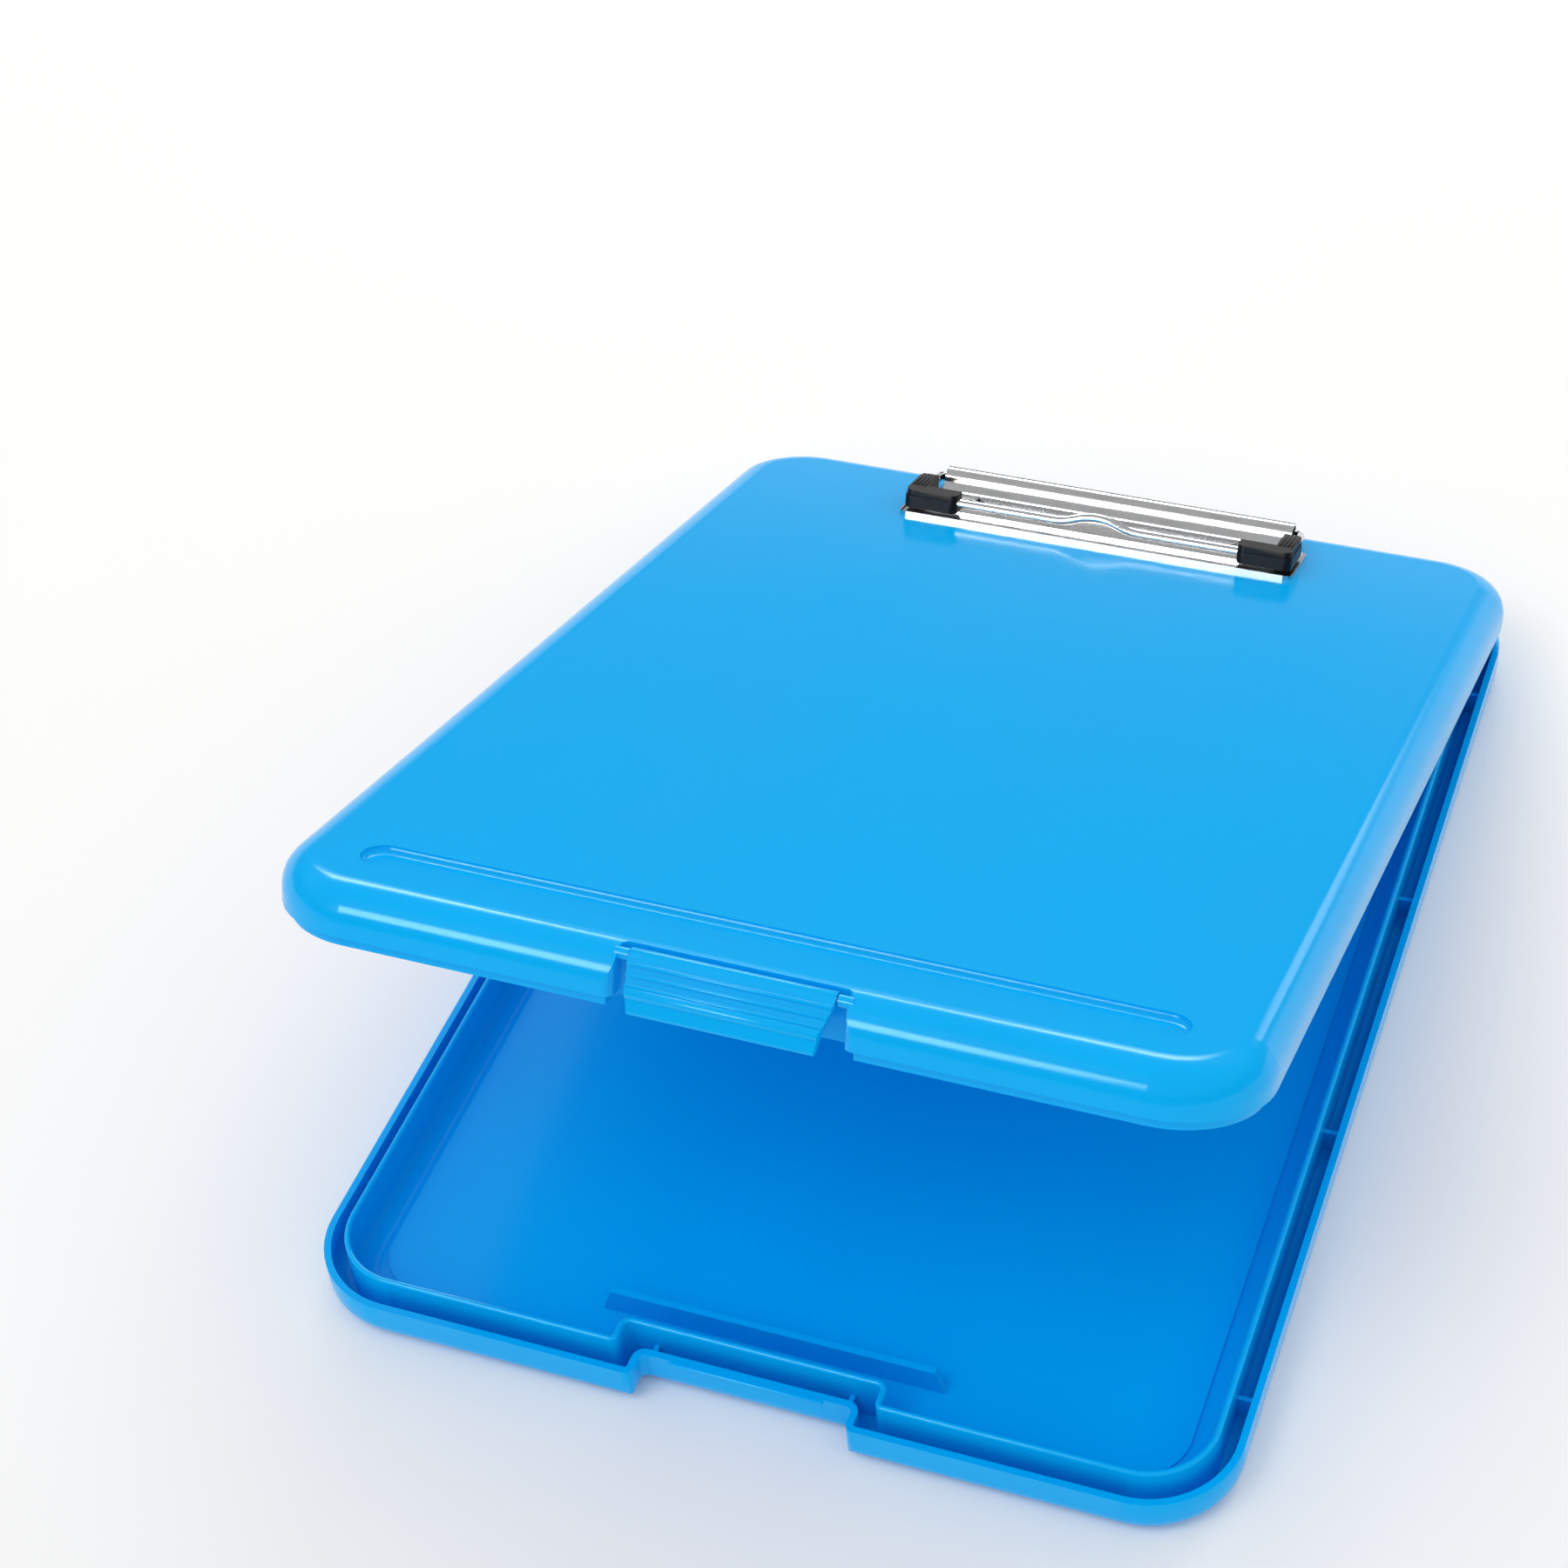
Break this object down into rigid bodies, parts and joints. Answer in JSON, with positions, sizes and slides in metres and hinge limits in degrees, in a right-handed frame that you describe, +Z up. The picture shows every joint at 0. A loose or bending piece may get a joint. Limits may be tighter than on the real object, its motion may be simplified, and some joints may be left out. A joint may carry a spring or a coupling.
{
  "type": "storage clipboard box",
  "caption": "Letter-size clipboard box: a shallow tray under a hinged lid with a front latch, a pencil groove and a low wire clip with rubber corner grips.",
  "frame": {"origin": "centre of the tray's flat underside, midway between the side walls and between the front and back walls", "axes": "+X right, -Y the front edge with the latch, +Y the hinge edge, +Z up, out of the open tray"},
  "size_m": [0.241, 0.3449, 0.136],
  "materials": {
    "blue_plastic": "smooth moulded gloss",
    "clip_chrome": "polished nickel plate",
    "pin_steel": "drawn wire and pressed steel",
    "black_rubber": "satin moulded rubber"
  },
  "bodies": {
    "tray_body": {"tray": "blue_plastic", "hinge_pin": "pin_steel"},
    "lid_body": {"lid": "blue_plastic", "latch_pin": "pin_steel", "clip_plate": "clip_chrome", "bail_spring": "pin_steel", "rivets": "clip_chrome", "rivet_washers": "pin_steel"},
    "latch_body": {"latch": "blue_plastic"},
    "bail_body": {"clip_bail": "clip_chrome", "left_grip": "black_rubber", "right_grip": "black_rubber"}
  },
  "joints": [
    {"name": "lid_hinge", "type": "hinge", "parent": "tray_body", "child": "lid_body", "pos_m": [0, 0.1715, 0.012], "axis": [-1, 0, 0], "range_deg": [-19.5, 125.5]},
    {"name": "latch_hinge", "type": "hinge", "parent": "lid_body", "child": "latch_body", "pos_m": [0, -0.14425, 0.1341], "axis": [-1, 0, 0], "range_deg": [-42, 43]},
    {"name": "bail_hinge", "type": "hinge", "parent": "lid_body", "child": "bail_body", "pos_m": [0, 0.16335, 0.03122], "axis": [-1, 0, 0], "range_deg": [0, 95], "stiffness_Nm_per_rad": 0.08, "springref_deg": -80.21}
  ]
}
